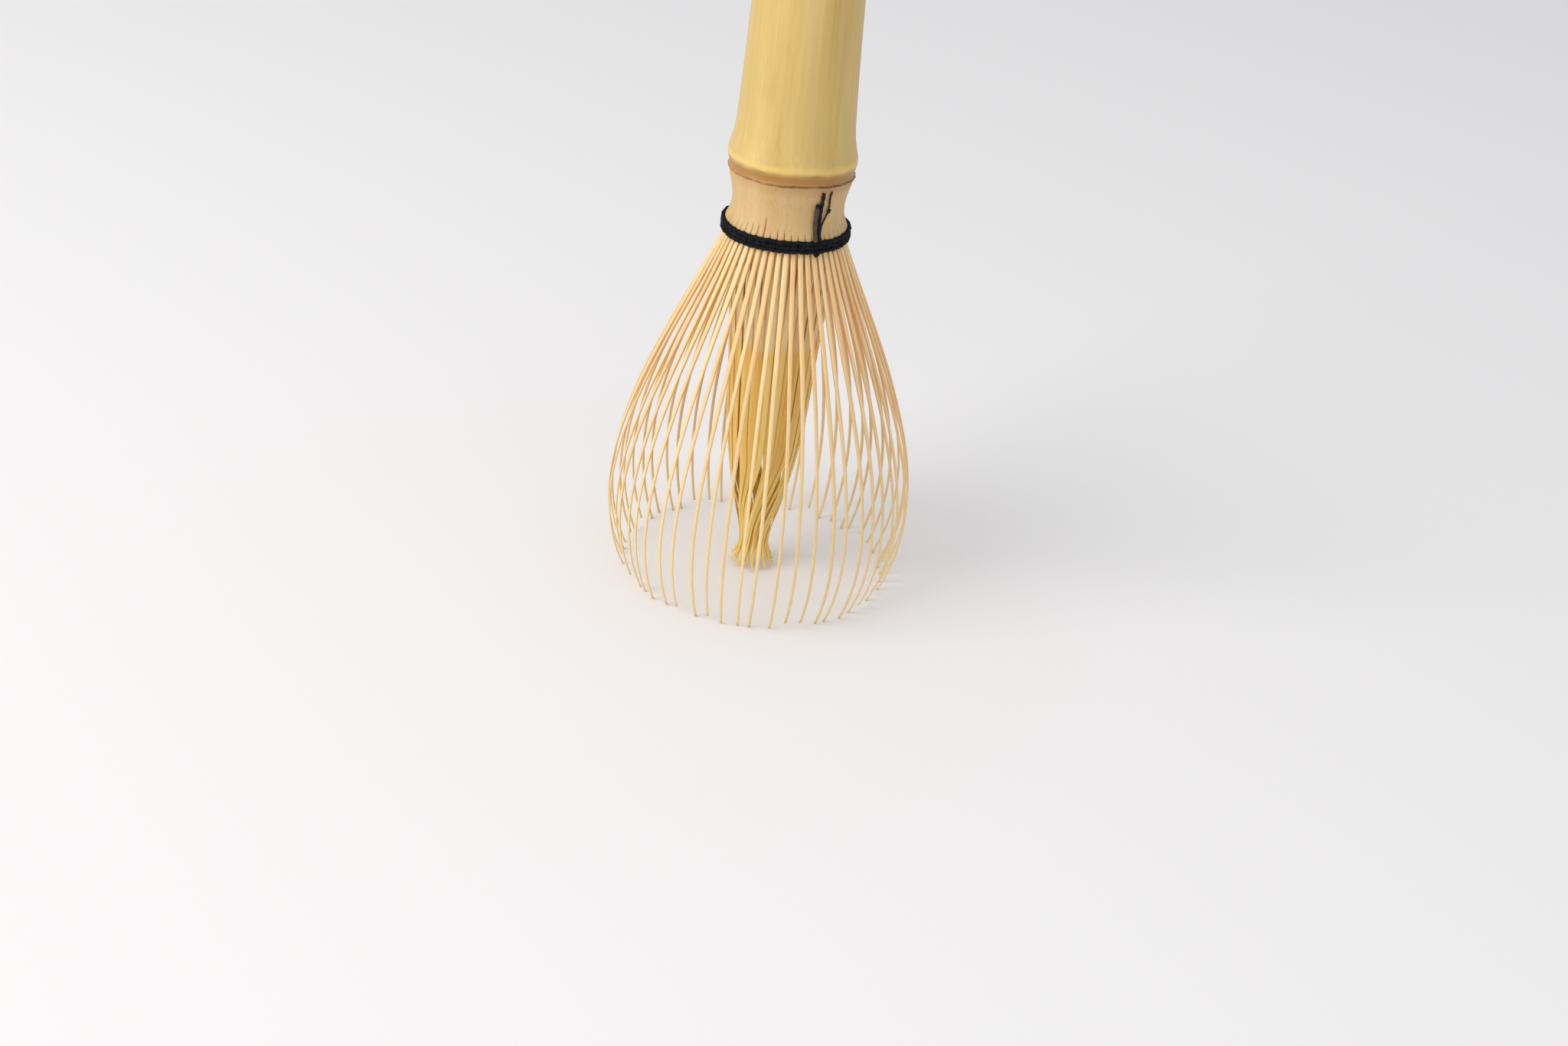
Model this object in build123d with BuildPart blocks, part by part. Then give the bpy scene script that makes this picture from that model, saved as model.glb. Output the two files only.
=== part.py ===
from build123d import *
import os
from math import cos, radians, sin

os.makedirs("parts", exist_ok=True)

# Bamboo tea whisk. One bamboo culm is carved thin below its node, slit into strips and bound with thread.
# The strips in front of the thread spread into a cage of outer tines, and the strips behind it gather
# into a twisted inner bundle.  Lengths are millimetres and angles degrees.
# z = 0 is the plane of the tine tips, +Z runs up the handle, and Z is the axis of the culm.
# Azimuth 0 is +X and grows towards +Y.

# Tine counts
OUTER_COUNT = 54
INNER_COUNT = 48
INNER_GROUPS = 4
OUTER_PITCH = 360 / OUTER_COUNT
INNER_PITCH = 360 / INNER_COUNT
GROUP_SIZE = INNER_COUNT // INNER_GROUPS

# Culm: heights above the tips and radii
HANDLE_TOP = 118.0
HANDLE_TOP_RADIUS = 9.45
STUB_END_Z = 66.95
STUB_OUTER_RADIUS = 10.8
STUB_TOP_Z = 69.2
BORE_RADIUS = 6.0
BORE_FLOOR_Z = 82.5
DIAPHRAGM_THICKNESS = 2.6
DIAPHRAGM_SAG = 1.2
COLLAR_WALL_INNER_RADIUS = 8.6
RIM_ROUND = 0.6

# Outline of the culm as (radius, height): the carved collar from its waist up to the scar of the node,
# then the ridge of the node and the neck of the handle above it
COLLAR_OUTLINE = [(9.95, 71.8), (10.4, 75.8), (11.1, 78.6)]
HANDLE_OUTLINE = [(11.02, 79.3), (11.38, 80.9), (10.95, 83.4), (10.3, 88.6), (9.6, 108.0)]

# Comb of root stubs, from the outside in: outer row, groove for the thread, inner row
OUTER_ROW_INNER_RADIUS = 10.2
INNER_ROW_OUTER_RADIUS = 9.5
INNER_ROW_INNER_RADIUS = 8.9
GROOVE_APEX_Z = 70.8
GROOVE_APEX_RADIUS = 9.75
SLIT_TOP_Z = 71.6
OUTER_SLIT_WIDTH = 0.52
INNER_SLIT_WIDTH = 0.42
SLIT_TOP_WIDTH = 0.12
CUT_MARGIN = 1.0

# Thread binding
THREAD_TURNS = 3
THREAD_TURN_PITCH = 0.74
THREAD_LOW_Z = 66.88
THREAD_FACE_RADIUS = 10.83
THREAD_VALLEY_RADIUS = 11.28
THREAD_CREST_RADIUS = 11.56
INNER_TURN_RADIUS = 9.82
INNER_TURN_Z = 67.9
INNER_TURN_THICKNESS = 0.42

# Loose ends of the thread, which lie up the collar from one place on the band
SHORT_TAIL_AZIMUTH = -61.0
SHORT_TAIL_THICKNESS = 0.76
SHORT_TAIL_PATH = [(11.25, 69.2), (10.6, 71.2), (10.6, 73.6), (10.9, 75.6)]
LONG_TAIL_AZIMUTH = -57.4
LONG_TAIL_THICKNESS = 0.68
LONG_TAIL_PATH = [(11.25, 69.2), (10.56, 71.2), (10.56, 74.0), (11.4, 77.8)]
THIN_TAIL_THICKNESS = 0.4
THIN_TAIL_PATH = [(-48.4, 11.25, 77.8), (-48.0, 10.55, 74.3), (-56.4, 10.5, 71.5)]
TAIL_BEND_RADIUS = 1.6
KNOT_DIAMETER = 0.8

# Outer tines: each bends at its root, just below the thread
OUTER_HINGE_RADIUS = 10.5
OUTER_HINGE_Z = 66.6
OUTER_SPINE = [(10.5, 66.6), (18.0, 49.6), (24.2, 34.0), (27.8, 15.0), (24.0, -0.8)]
OUTER_THICKNESS = (0.56, 0.26)
OUTER_WIDTH = (0.86, 0.5)
OUTER_LEAN = 0.6
OUTER_FLARE = 0.5
OUTER_TIP_LIFT = 0.25

# Inner tines: groups of neighbours share one web at their roots
INNER_TOP_Z = 66.3
INNER_WEB_HEIGHT = 0.9
INNER_WEB_GAP = 1.2
INNER_WEB_SPAN = 360 / INNER_GROUPS - INNER_WEB_GAP
INNER_SPINE = [(9.2, 66.0), (7.9, 44.0), (6.85, 28.0), (3.85, 12.3), (2.6, 5.5), (3.7, 0.5)]
INNER_THICKNESS = (0.42, 0.2)
INNER_WIDTHS = [(66.3, 0.8), (30.0, 0.8), (12.5, 0.4), (5.5, 0.25), (0.0, 0.25)]

# Stations along a strip where its two faces are set out
SPINE_STATIONS = 7


def wobble(index, phase):
    """A repeatable value between -1 and 1 that looks irregular from one tine to the next."""
    return 0.55 * sin(2.4 * index + phase) + 0.45 * sin(5.3 * index + 2 * phase)


def direction(azimuth):
    """Horizontal unit vector at an azimuth."""
    return Vector(cos(radians(azimuth)), sin(radians(azimuth)), 0)


def radial_plane(azimuth):
    """Plane through the whisk's axis whose x runs outward and y upward."""
    return Plane(origin=(0, 0, 0), x_dir=direction(azimuth), z_dir=direction(azimuth - 90))


def hinge_plane(number):
    """Plane at an outer tine's root: x outward, y up the tine, z the axis that a bend outward turns about."""
    azimuth = number * OUTER_PITCH
    root = direction(azimuth) * OUTER_HINGE_RADIUS + Vector(0, 0, OUTER_HINGE_Z)
    plane = Plane(origin=root, x_dir=direction(azimuth), z_dir=direction(azimuth - 90))
    return plane.rotated((OUTER_LEAN * wobble(number, 0.4), 0, OUTER_FLARE * wobble(number, 1.9)))


def strip_edges(points, thickness):
    """Points along the outer and inner face of a strip that thins along a smooth spine through points."""
    spine = Spline(*points)
    outer, inner = [], []
    for station in range(SPINE_STATIONS + 1):
        u = station / SPINE_STATIONS
        half = (thickness[0] + (thickness[1] - thickness[0]) * u) / 2
        side = (spine % u).rotate(Axis.Z, 90) * half
        outer.append(spine @ u + side)
        inner.append(spine @ u - side)
    return outer, inner


# Culm: handle, node and collar in one revolved wall, with a comb of root stubs below the slits
with BuildPart() as culm:
    with BuildSketch(Plane.XZ):
        with BuildLine():
            collar = Spline((STUB_OUTER_RADIUS, STUB_TOP_Z), *COLLAR_OUTLINE)
            handle = Spline(collar @ 1, *HANDLE_OUTLINE, (HANDLE_TOP_RADIUS, HANDLE_TOP))
            Polyline(
                handle @ 1,
                (BORE_RADIUS, HANDLE_TOP),
                (BORE_RADIUS, BORE_FLOOR_Z),
                (0, BORE_FLOOR_Z),
                (0, BORE_FLOOR_Z - DIAPHRAGM_THICKNESS),
                (COLLAR_WALL_INNER_RADIUS, BORE_FLOOR_Z - DIAPHRAGM_THICKNESS - DIAPHRAGM_SAG),
                (COLLAR_WALL_INNER_RADIUS, SLIT_TOP_Z),
                (INNER_ROW_INNER_RADIUS, STUB_END_Z),
                (INNER_ROW_OUTER_RADIUS, STUB_END_Z),
                (GROOVE_APEX_RADIUS, GROOVE_APEX_Z),
                (OUTER_ROW_INNER_RADIUS, STUB_END_Z),
                (STUB_OUTER_RADIUS, STUB_END_Z),
                collar @ 0,
            )
        make_face()
    revolve(axis=Axis.Z)
    end_face = culm.faces().sort_by(Axis.Z)[-1]
    fillet(end_face.edges(), RIM_ROUND)


def slit(width, near, far):
    """Wedge that cuts one slit of the comb, at azimuth 0, between two radii."""
    with BuildPart() as wedge:
        with BuildSketch(Plane.YZ.offset(near)):
            with BuildLine():
                Polyline(
                    (-width / 2, STUB_END_Z - CUT_MARGIN),
                    (width / 2, STUB_END_Z - CUT_MARGIN),
                    (SLIT_TOP_WIDTH / 2, SLIT_TOP_Z),
                    (-SLIT_TOP_WIDTH / 2, SLIT_TOP_Z),
                    close=True,
                )
            make_face()
        extrude(amount=far - near)
    return wedge.part


outer_slit = slit(OUTER_SLIT_WIDTH, GROOVE_APEX_RADIUS, STUB_OUTER_RADIUS + CUT_MARGIN)
inner_slit = slit(INNER_SLIT_WIDTH, COLLAR_WALL_INNER_RADIUS - CUT_MARGIN, GROOVE_APEX_RADIUS)
with culm:
    with PolarLocations(0, OUTER_COUNT, start_angle=OUTER_PITCH / 2):
        add(outer_slit, mode=Mode.SUBTRACT)
    with PolarLocations(0, INNER_COUNT):
        add(inner_slit, mode=Mode.SUBTRACT)
culm.part.label = "culm"
export_step(culm.part, "parts/culm.step")

# Binding thread, first part: the turns round the outer row, and the turn woven between the two rows
with BuildPart() as band:
    with BuildSketch(Plane.XZ):
        with BuildLine():
            inner_low = (THREAD_FACE_RADIUS, THREAD_LOW_Z)
            corner = Line(inner_low, (THREAD_VALLEY_RADIUS, THREAD_LOW_Z)) @ 1
            for turn in range(THREAD_TURNS):
                crest = (THREAD_CREST_RADIUS, THREAD_LOW_Z + (turn + 0.5) * THREAD_TURN_PITCH)
                valley = (THREAD_VALLEY_RADIUS, THREAD_LOW_Z + (turn + 1) * THREAD_TURN_PITCH)
                corner = ThreePointArc(corner, crest, valley) @ 1
            Polyline(corner, (THREAD_FACE_RADIUS, corner.Y), inner_low)
        make_face()
    revolve(axis=Axis.Z)

with BuildPart() as inner_turn:
    with BuildSketch(Plane.XZ):
        with Locations((INNER_TURN_RADIUS, INNER_TURN_Z)):
            Circle(INNER_TURN_THICKNESS / 2)
    revolve(axis=Axis.Z)


def tail_point(azimuth, radius, z):
    """Point given by azimuth, radius and height."""
    return direction(azimuth) * radius + Vector(0, 0, z)


def strand(route, thickness):
    """One round strand along a route, with its bends rounded."""
    with BuildPart() as tail:
        with BuildLine() as path:
            FilletPolyline(*route, radius=TAIL_BEND_RADIUS)
        with BuildSketch(Plane(origin=path.line @ 0, z_dir=path.line % 0)):
            Circle(thickness / 2)
        sweep()
    return tail.part


# Binding thread, second part: its loose ends, one of them with a knot
short_route = [tail_point(SHORT_TAIL_AZIMUTH, *point) for point in SHORT_TAIL_PATH]
long_route = [tail_point(LONG_TAIL_AZIMUTH, *point) for point in LONG_TAIL_PATH]
thin_route = [tail_point(*point) for point in THIN_TAIL_PATH]
short_tail = strand(short_route, SHORT_TAIL_THICKNESS)
long_tail = strand(long_route, LONG_TAIL_THICKNESS)
thin_tail = strand(thin_route, THIN_TAIL_THICKNESS)
with BuildPart() as binding_thread:
    add(band.part)
    add(inner_turn.part)
    add(short_tail)
    add(long_tail)
    add(thin_tail)
    with Locations(thin_route[1]):
        Sphere(KNOT_DIAMETER / 2)
binding_thread.part.label = "binding_thread"
export_step(binding_thread.part, "parts/binding_thread.step")

# Outer tine at its hinge: x outward, y up, with a round root for the bend and a width that tapers to the tip
hinge = Vector(OUTER_HINGE_RADIUS, OUTER_HINGE_Z)
outer_edge, inner_edge = strip_edges([Vector(*point) - hinge for point in OUTER_SPINE], OUTER_THICKNESS)
root_top = (outer_edge[0] - inner_edge[0]).rotate(Axis.Z, 90) / 2
with BuildPart() as outer_strip:
    with BuildSketch(Plane.XY):
        with BuildLine():
            Spline(*outer_edge)
            Line(outer_edge[-1], inner_edge[-1])
            Spline(*inner_edge)
            ThreePointArc(inner_edge[0], root_top, outer_edge[0])
        make_face()
    extrude(amount=OUTER_WIDTH[0], both=True)
    reach = OUTER_HINGE_Z + CUT_MARGIN
    with BuildSketch(Plane.YZ.offset(-CUT_MARGIN)):
        with BuildLine():
            Polyline(
                (CUT_MARGIN, OUTER_WIDTH[0] / 2),
                (-reach, OUTER_WIDTH[1] / 2),
                (-reach, -OUTER_WIDTH[1] / 2),
                (CUT_MARGIN, -OUTER_WIDTH[0] / 2),
                close=True,
            )
        make_face()
    extrude(amount=max(point[0] for point in OUTER_SPINE), mode=Mode.INTERSECT)

for number in range(OUTER_COUNT):
    with BuildPart() as outer_tine:
        with Locations(hinge_plane(number)):
            add(outer_strip.part)
        tip_z = max(0, OUTER_TIP_LIFT * wobble(number, 3.1))
        split(bisect_by=Plane.XY.offset(tip_z), keep=Keep.TOP)
    name = f"outer_tine_{number + 1:02d}"
    outer_tine.part.label = name
    export_step(outer_tine.part, f"parts/{name}.step")

# Inner tine at azimuth 0: a flat strip that narrows to the waist of the bundle and turns out at its tip
outer_edge, inner_edge = strip_edges([Vector(*point) for point in INNER_SPINE], INNER_THICKNESS)
with BuildPart() as inner_strip:
    with BuildSketch(Plane.XZ):
        with BuildLine():
            Spline(*outer_edge)
            Line(outer_edge[-1], inner_edge[-1])
            Spline(*inner_edge)
            Line(inner_edge[0], outer_edge[0])
        make_face()
    extrude(amount=INNER_WIDTHS[0][1], both=True)
    with BuildSketch(Plane.YZ):
        right = [(width / 2, z) for z, width in INNER_WIDTHS]
        left = [(-width / 2, z) for z, width in reversed(INNER_WIDTHS)]
        with BuildLine():
            Polyline(*right, *left, close=True)
        make_face()
    extrude(amount=2 * INNER_ROW_OUTER_RADIUS, mode=Mode.INTERSECT)

web_middle = ((INNER_ROW_INNER_RADIUS + INNER_ROW_OUTER_RADIUS) / 2, INNER_TOP_Z - INNER_WEB_HEIGHT / 2)
web_thickness = INNER_ROW_OUTER_RADIUS - INNER_ROW_INNER_RADIUS
for group in range(INNER_GROUPS):
    first = (group * GROUP_SIZE + 0.5) * INNER_PITCH
    middle = first + (GROUP_SIZE - 1) / 2 * INNER_PITCH
    with BuildPart() as inner_tines:
        with BuildSketch(radial_plane(middle - INNER_WEB_SPAN / 2)):
            with Locations(web_middle):
                Rectangle(web_thickness, INNER_WEB_HEIGHT)
        revolve(axis=Axis.Z, revolution_arc=INNER_WEB_SPAN)
        with PolarLocations(0, GROUP_SIZE, start_angle=first, angular_range=GROUP_SIZE * INNER_PITCH):
            add(inner_strip.part)
    name = f"inner_tines_{group + 1}"
    inner_tines.part.label = name
    export_step(inner_tines.part, f"parts/{name}.step")
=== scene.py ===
import math

import bpy
import numpy as np
from mathutils import Matrix, Vector


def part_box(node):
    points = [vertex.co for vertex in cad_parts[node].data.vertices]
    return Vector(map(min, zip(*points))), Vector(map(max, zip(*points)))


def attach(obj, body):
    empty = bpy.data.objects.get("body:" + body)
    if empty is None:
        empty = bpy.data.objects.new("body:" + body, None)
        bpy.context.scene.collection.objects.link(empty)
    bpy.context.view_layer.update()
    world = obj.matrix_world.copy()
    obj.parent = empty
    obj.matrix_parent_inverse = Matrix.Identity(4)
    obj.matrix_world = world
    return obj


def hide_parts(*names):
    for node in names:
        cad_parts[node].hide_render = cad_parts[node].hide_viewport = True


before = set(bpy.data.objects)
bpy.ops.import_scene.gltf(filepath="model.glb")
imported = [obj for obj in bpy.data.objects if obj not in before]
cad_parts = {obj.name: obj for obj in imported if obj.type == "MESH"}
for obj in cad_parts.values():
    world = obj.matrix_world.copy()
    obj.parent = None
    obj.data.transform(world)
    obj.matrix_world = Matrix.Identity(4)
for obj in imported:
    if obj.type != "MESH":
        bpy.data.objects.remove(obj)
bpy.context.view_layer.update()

# Bamboo tea whisk. Lengths below are millimetres unless a name says otherwise; MM turns them into metres.
# z = 0 is the plane of the tine tips, and +Z runs up the handle. Azimuths are in degrees: 0 is +X, and -90 is
# the side that the camera sees.
MM = 0.001
FRONT = -90.0
RNG = np.random.default_rng(48)

# Counts
OUTER_COUNT = sum(name.startswith("outer_tine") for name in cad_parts)
INNER_GROUPS = sum(name.startswith("inner_tines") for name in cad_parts)
THREAD_NODES = [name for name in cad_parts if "thread" in name]
INNER_COUNT = 48
CLUMP_SIZE = 6
OUTER_PITCH = 360 / OUTER_COUNT
INNER_PITCH = 360 / INNER_COUNT
GROUP_SIZE = INNER_COUNT // INNER_GROUPS

# Culm, as the CAD has it. The knots of the collar and of the handle are (height, radius)
HANDLE_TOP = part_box("culm")[1].z / MM
SCAR_Z = 78.6
STUB_TOP_Z = 69.2
COLLAR_KNOTS = [(STUB_TOP_Z, 10.8), (71.8, 9.95), (75.8, 10.4), (SCAR_Z, 11.1)]
HANDLE_KNOTS = [(SCAR_Z, 11.1), (79.3, 11.02), (80.9, 11.38), (83.4, 10.95), (88.6, 10.3), (108.0, 9.6),
                (118.0, 9.45)]
STUB_END_Z = 67.7
STUB_RADIUS = 10.8
# Comb in section as (radius, height): round the inner row of stubs, up the groove and round the outer row
COMB_SECTION = [(8.85, 68.4), (8.9, STUB_END_Z), (9.5, STUB_END_Z), (9.6, 69.2), (9.75, 70.8),
                (10.1, 68.8), (10.2, STUB_END_Z), (STUB_RADIUS, STUB_END_Z), (STUB_RADIUS, 68.4)]
COLLAR_INNER_RADIUS = 8.6
COLLAR_INNER_TOP_Z = 77.6
DIAPHRAGM_BOTTOM_Z = 79.9
DIAPHRAGM_DISH = 1.2
BORE_RADIUS = 6.0
BORE_FLOOR_Z = 82.5
BORE_FLOOR_DISH = 0.5
RIM_ROUND = 0.6

# Lip that stands out along the scar: its spread up and down, its least height and what a heavy scar adds
LIP_SPREAD = 0.17
LIP_LEAST = 0.05
LIP_GAIN = 0.16

# Slits between the outer strips, where they run up into the collar. Half widths are shares of a strip's pitch
SLIT_TOP_Z = 70.7
LONG_SLIT_AZIMUTH = -107.0
LONG_SLIT_TOP_Z = 72.7
SLIT_DEPTH = 0.35
SLIT_TAPER = 1.3
SLIT_TIP_HALF = 0.012
SLIT_OPENING = 0.09
SLIT_OPENING_LENGTH = 4.0

# Heights above the scar that the culm's material is given away from the skin: for the wood of the collar's
# hollow, for the wood of the bore, and for the rounded rim
HOLLOW_MARK = -5
BORE_MARK = -4
RIM_MARK = 8

# Thread
BAND_LOW_Z = 66.88
BAND_PITCH = 0.74
BAND_TURNS = 3
BAND_RADIUS = 11.17
BAND_THREAD_RADIUS = 0.445
BAND_DIP = 0.26
BAND_SWAY = 0.04
BAND_LAY = 1.8
INNER_TURN_RADIUS = 9.82
INNER_TURN_Z = 67.9
INNER_TURN_THREAD_RADIUS = 0.21
END_POINTS = 90
# Distance of a ply's middle from the thread's middle, in radii of the thread, by number of plies
PLY_OFFSET = {2: 0.37, 3: 0.46}

# Outer tines: the spine and the root hidden behind the thread are (radius, height), and the sizes along a
# tine are (share of its length, size)
OUTER_SPINE = [(10.5, 66.6), (18.0, 49.6), (24.2, 34.0), (27.8, 15.0), (24.0, -0.8)]
OUTER_WIDTHS = [(0, 0.54), (0.014, 0.60), (0.04, 0.93), (0.2, 0.85), (0.4, 0.74), (0.6, 0.65), (0.8, 0.57),
                (1, 0.50)]
OUTER_THICKNESSES = [(0, 0.24), (0.014, 0.28), (0.03, 0.46), (0.06, 0.56), (0.5, 0.38), (1, 0.24)]
OUTER_LEAN = 0.6
OUTER_FLARE = 0.5
OUTER_DRIFT = 0.10
OUTER_SHAVE_START_Z = 50
OUTER_SHAVE_FULL_Z = 44
HIDDEN_ROOT = [(10.32, 67.6), (10.38, 67.1)]

# Inner tines: the same, then how the bundle gathers in clumps, twists and spreads at its tips
INNER_SPINE = [(9.2, 67.4), (9.2, 66.0), (7.9, 44.0), (6.85, 28.0), (3.95, 12.3), (2.55, 4.9), (3.75, 0.2)]
INNER_WIDTHS = [(0, 0.88), (0.05, 0.98), (0.2, 1.10), (0.35, 1.14), (0.6, 1.02), (0.78, 0.72), (0.9, 0.54),
                (1, 0.3)]
INNER_THICKNESSES = [(0, 0.30), (0.05, 0.30), (0.5, 0.20), (1, 0.14)]
INNER_SHAVE_START_Z = 48.2
INNER_SHAVE_FULL_Z = 46.4
BUNDLE_SHIFT = 2.2
BUNDLE_TWIST = -46.0
CLUMP_GATHER = 0.28
CLUMP_SWAY = 3.0
TINE_STRAY = 1.3
LAYER_OFFSET = 0.09
WAIST_LAYER_OFFSET = 0.24
WAIST_TIGHTENING = 0.15
TIP_SPREAD = 0.7
TIP_STAGGER = 1.8


def wobble(index, phase):
    """The repeatable irregularity that the CAD tines have."""
    return 0.55 * math.sin(2.4 * index + phase) + 0.45 * math.sin(5.3 * index + 2 * phase)


def smooth(value, low, high):
    """0 at low, 1 at high and a smooth step between them; low may be the larger."""
    t = np.clip((np.asarray(value, float) - low) / (high - low), 0, 1)
    return t * t * (3 - 2 * t)


def cubic_spline(x, y, at):
    """Cubic spline through (x, y) with not-a-knot ends, evaluated at points."""
    n = len(x)
    h = np.diff(x)
    system = np.zeros((n, n))
    right = np.zeros(n)
    for i in range(1, n - 1):
        system[i, i - 1:i + 2] = h[i - 1], 2 * (h[i - 1] + h[i]), h[i]
        right[i] = 6 * ((y[i + 1] - y[i]) / h[i] - (y[i] - y[i - 1]) / h[i - 1])
    system[0, :3] = h[1], -(h[0] + h[1]), h[0]
    system[-1, -3:] = h[-1], -(h[-2] + h[-1]), h[-2]
    bend = np.linalg.solve(system, right)
    k = np.clip(np.searchsorted(x, at) - 1, 0, n - 2)
    a, b = x[k + 1] - at, at - x[k]
    cubic = (bend[k] * a ** 3 + bend[k + 1] * b ** 3) / (6 * h[k])
    return cubic + (y[k] / h[k] - bend[k] * h[k] / 6) * a + (y[k + 1] / h[k] - bend[k + 1] * h[k] / 6) * b


def curve_through(knots, count):
    """count points, evenly spaced by length, on a smooth curve through the knots."""
    knots = np.asarray(knots, float)
    steps = np.linalg.norm(np.diff(knots, axis=0), axis=1)
    at = np.concatenate([[0], np.cumsum(steps)])
    dense = np.linspace(0, at[-1], 400)
    points = np.stack([cubic_spline(at, knots[:, k], dense) for k in range(knots.shape[1])], 1)
    run = run_length(points)
    even = np.linspace(0, run[-1], count)
    return np.stack([np.interp(even, run, points[:, k]) for k in range(points.shape[1])], 1)


def between_knots(knots, at):
    """Values on the straight lines between (place, value) knots."""
    places, values = np.array(knots).T
    return np.interp(at, places, values)


def run_length(points):
    """Distance along a row of points from its first."""
    return np.concatenate([[0], np.cumsum(np.linalg.norm(np.diff(points, axis=0), axis=1))])


def direction(azimuth):
    """Horizontal unit vector at an azimuth in degrees."""
    return np.array([math.cos(math.radians(azimuth)), math.sin(math.radians(azimuth)), 0.0])


def unit(vectors):
    """Rows scaled to length 1."""
    return vectors / np.linalg.norm(vectors, axis=-1, keepdims=True)


def turned(vectors, axes, angles):
    """Vectors turned about unit axes by angles in radians, row by row."""
    c, s = np.cos(angles)[:, None], np.sin(angles)[:, None]
    along = np.sum(vectors * axes, axis=1, keepdims=True)
    return vectors * c + np.cross(axes, vectors) * s + axes * along * (1 - c)


def grid_piece(name, points, material, attributes, closed_rows=False, caps=True):
    """Mesh from a grid of points in millimetres (rows, columns, 3), closed round its columns."""
    rows, cols = points.shape[:2]
    index = np.arange(rows * cols).reshape(rows, cols)
    low = index if closed_rows else index[:-1]
    high = np.roll(index, -1, 0) if closed_rows else index[1:]
    quads = np.stack([low, np.roll(low, -1, 1), np.roll(high, -1, 1), high], -1).reshape(-1, 4)
    faces = quads.tolist()
    if caps and not closed_rows:
        faces.append(index[0][::-1].tolist())
        faces.append(index[-1].tolist())
    mesh = bpy.data.meshes.new(name)
    mesh.from_pydata((points.reshape(-1, 3) * MM).tolist(), [], faces)
    mesh.polygons.foreach_set("use_smooth", np.ones(len(mesh.polygons), bool))
    for key, values in attributes.items():
        values = np.asarray(values, np.float32)
        is_vector = values.ndim == 3
        layer = mesh.attributes.new(key, "FLOAT_VECTOR" if is_vector else "FLOAT", "POINT")
        layer.data.foreach_set("vector" if is_vector else "value", values.ravel())
    mesh.validate()
    mesh.update()
    piece = bpy.data.objects.new(name, mesh)
    bpy.context.scene.collection.objects.link(piece)
    mesh.materials.append(material)
    return piece


# ---------------------------------------------------------------------------------------------- materials

class Nodes:
    """Short names for building one material's node tree."""

    def __init__(self, name):
        self.material = bpy.data.materials.new(name)
        self.material.use_nodes = True
        self.tree = self.material.node_tree
        self.shader = self.tree.nodes["Principled BSDF"]

    def add(self, kind, **values):
        node = self.tree.nodes.new(kind)
        for key, value in values.items():
            setattr(node, key, value)
        return node

    def link(self, source, target):
        self.tree.links.new(source, target)

    def attribute(self, name, vector=False):
        node = self.add("ShaderNodeAttribute", attribute_name=name)
        return node.outputs["Vector" if vector else "Fac"]

    def object_coords(self):
        return self.add("ShaderNodeTexCoord").outputs["Object"]

    def scaled(self, vector, scale):
        node = self.add("ShaderNodeMapping")
        node.inputs["Scale"].default_value = scale
        self.link(vector, node.inputs["Vector"])
        return node.outputs["Vector"]

    def noise(self, vector, scale=1.0, detail=3.0, roughness=0.55):
        node = self.add("ShaderNodeTexNoise")
        node.inputs["Scale"].default_value = scale
        node.inputs["Detail"].default_value = detail
        node.inputs["Roughness"].default_value = roughness
        self.link(vector, node.inputs["Vector"])
        return node.outputs["Fac"]

    def math(self, operation, a, b=0.0):
        node = self.add("ShaderNodeMath", operation=operation)
        for socket, value in zip(node.inputs, (a, b)):
            if isinstance(value, (int, float)):
                socket.default_value = value
            else:
                self.link(value, socket)
        return node.outputs[0]

    def weighted(self, *pairs):
        """Sum of values times weights, given as (value, weight) pairs."""
        total = 0.0
        for value, weight in pairs:
            total = self.math("ADD", self.math("MULTIPLY", value, weight), total)
        return total

    def remap(self, value, low, high, to_low=0.0, to_high=1.0):
        node = self.add("ShaderNodeMapRange", clamp=True)
        self.link(value, node.inputs["Value"])
        for key, number in (("From Min", low), ("From Max", high), ("To Min", to_low), ("To Max", to_high)):
            node.inputs[key].default_value = number
        return node.outputs["Result"]

    def window(self, value, start, full_from, full_to, end):
        """1 between full_from and full_to, falling to 0 at start and end."""
        return self.math("MULTIPLY", self.remap(value, start, full_from), self.remap(value, end, full_to))

    def ramp(self, value, stops):
        node = self.add("ShaderNodeValToRGB")
        self.link(value, node.inputs["Fac"])
        ramp = node.color_ramp
        while len(ramp.elements) < len(stops):
            ramp.elements.new(0.5)
        for element, (position, colour) in zip(ramp.elements, stops):
            element.position = position
            element.color = (*srgb(colour), 1)
        return node.outputs["Color"]

    def mix(self, factor, a, b, strength=1.0):
        """a where factor is 0 and b where factor times strength is 1."""
        if strength != 1.0:
            factor = self.math("MULTIPLY", factor, strength)
        node = self.add("ShaderNodeMix", data_type="RGBA")
        for socket, value in ((node.inputs["Factor"], factor), (node.inputs[6], a), (node.inputs[7], b)):
            if isinstance(value, tuple):
                socket.default_value = (*srgb(value), 1)
            else:
                self.link(value, socket)
        return node.outputs[2]

    def bump(self, height, distance, strength):
        node = self.add("ShaderNodeBump")
        node.inputs["Strength"].default_value = strength
        node.inputs["Distance"].default_value = distance * MM
        self.link(height, node.inputs["Height"])
        self.link(node.outputs["Normal"], self.shader.inputs["Normal"])

    def finish(self, colour, roughness, **constants):
        self.link(colour, self.shader.inputs["Base Color"])
        if isinstance(roughness, float):
            self.shader.inputs["Roughness"].default_value = roughness
        else:
            self.link(roughness, self.shader.inputs["Roughness"])
        for key, value in constants.items():
            self.shader.inputs[key.replace("_", " ")].default_value = value
        return self.material


def srgb(colour):
    """Linear values of a colour given as 0 to 255 sRGB."""
    values = np.asarray(colour, float) / 255
    return tuple(np.where(values <= 0.04045, values / 12.92, ((values + 0.055) / 1.055) ** 2.4))


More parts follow.
